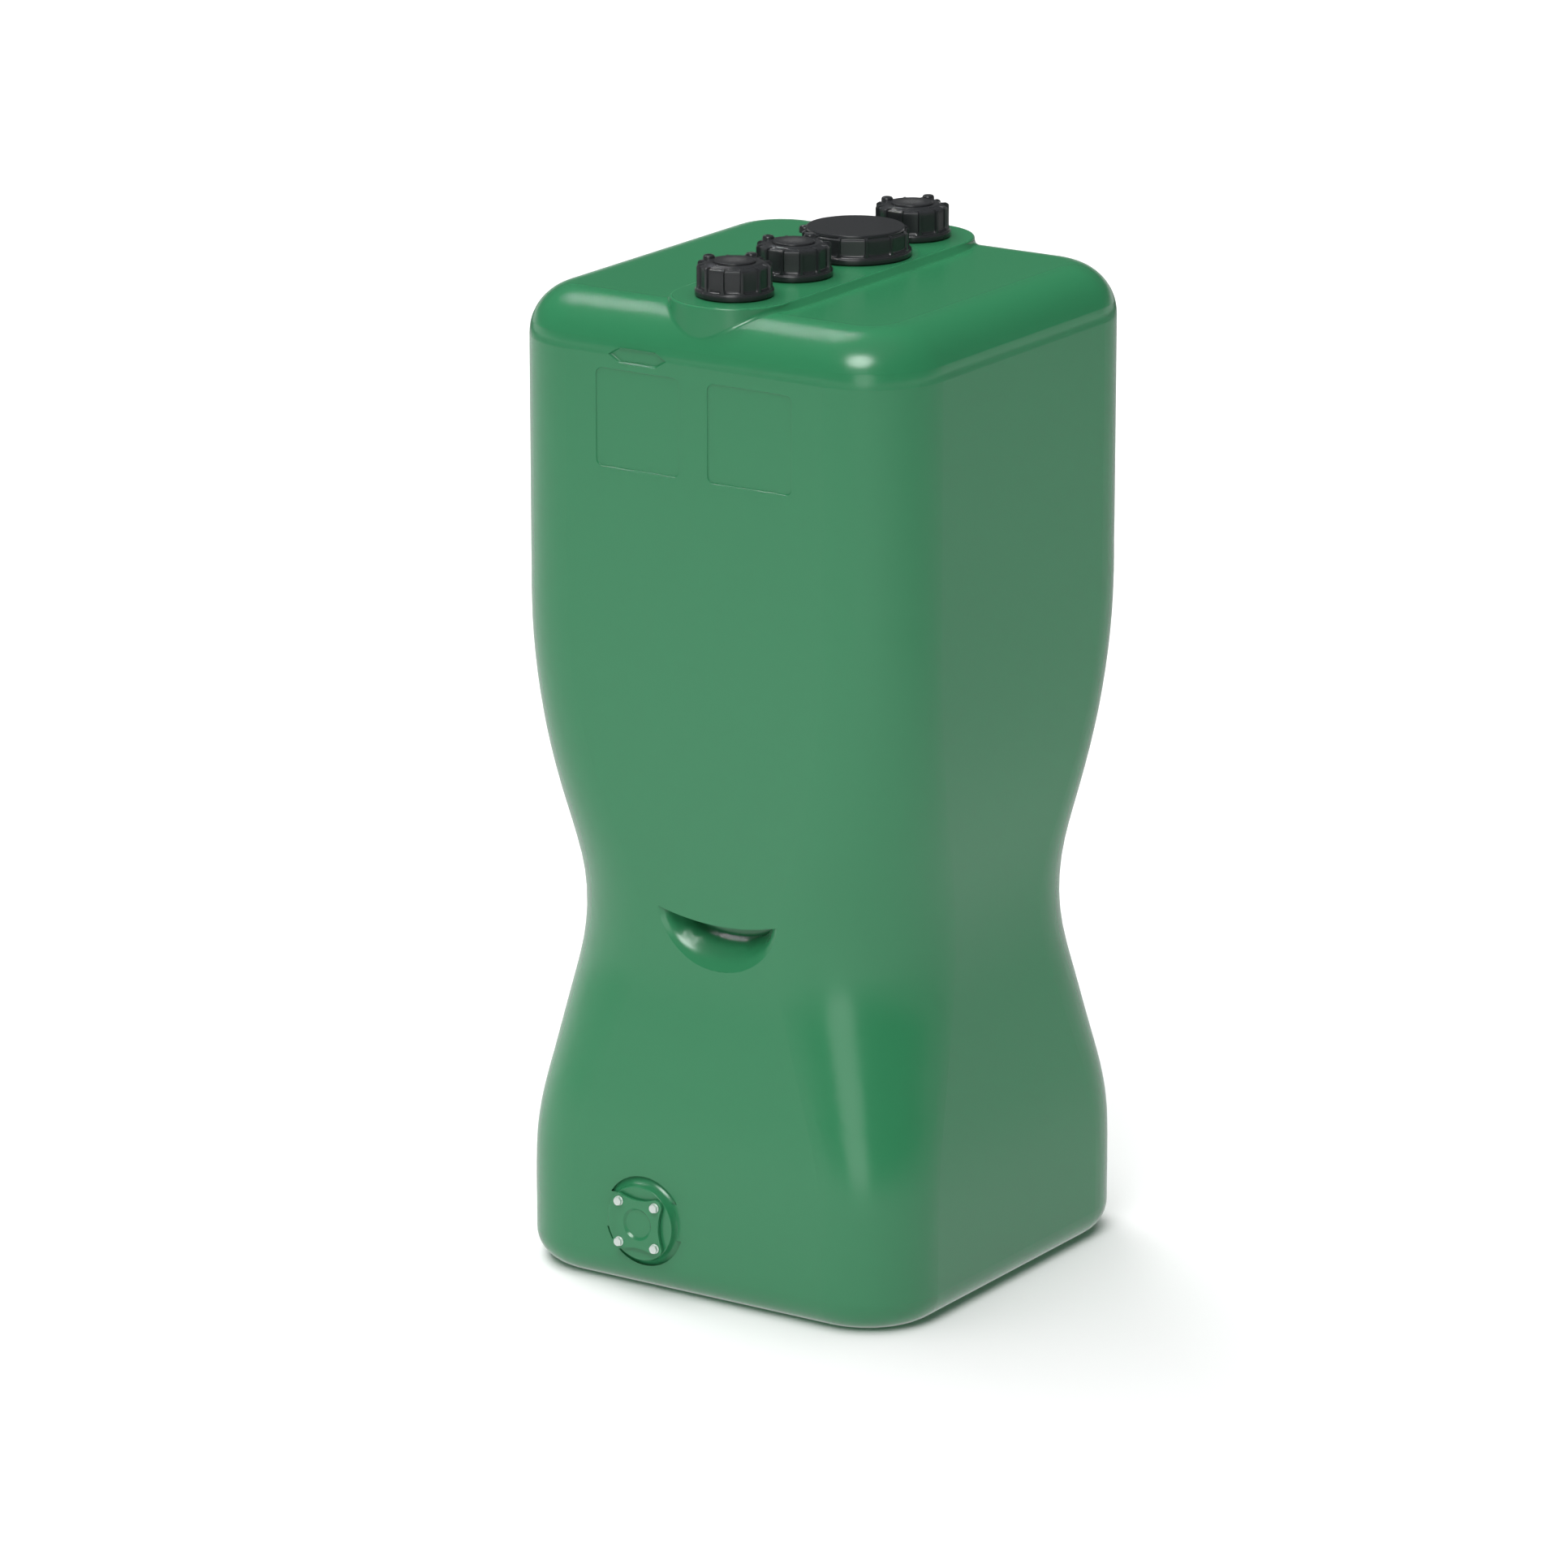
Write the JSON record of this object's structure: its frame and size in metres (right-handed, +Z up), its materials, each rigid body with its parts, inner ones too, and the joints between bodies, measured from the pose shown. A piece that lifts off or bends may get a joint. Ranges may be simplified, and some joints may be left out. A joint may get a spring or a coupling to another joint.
{
  "type": "drinking water storage tank",
  "caption": "Upright square plastic water tank with a waist, handholds, a top ridge of capped screw necks and a bolted flange cover low on the front.",
  "frame": {"origin": "middle of the base, on the floor", "axes": "+Z up, -Y out of the front face that carries the flange and the label fields, +X to the right of the front face"},
  "size_m": [0.7502, 0.777, 1.695],
  "materials": {
    "green_polyethylene": "blow-moulded, satin gloss",
    "black_polypropylene": "injection-moulded, satin",
    "black_rubber": "moulded gasket",
    "zinc_steel": "bright zinc plated"
  },
  "bodies": {
    "root": {"tank_wall": "green_polyethylene", "tank_top": "green_polyethylene", "tank_floor": "green_polyethylene", "front_union_nut": "black_polypropylene", "front_blind_plug": "black_polypropylene", "front_neck_gasket": "black_rubber", "middle_union_nut": "black_polypropylene", "middle_blind_plug": "black_polypropylene", "middle_neck_gasket": "black_rubber", "large_screw_lid": "black_polypropylene", "large_neck_gasket": "black_rubber", "rear_union_nut": "black_polypropylene", "rear_blind_plug": "black_polypropylene", "rear_neck_gasket": "black_rubber", "flange_gasket": "black_rubber", "flange_cover": "green_polyethylene", "flange_washer_1": "zinc_steel", "flange_washer_2": "zinc_steel", "flange_washer_3": "zinc_steel", "flange_washer_4": "zinc_steel", "flange_bolt_1": "zinc_steel", "flange_bolt_2": "zinc_steel", "flange_bolt_3": "zinc_steel", "flange_bolt_4": "zinc_steel"}
  },
  "joints": []
}
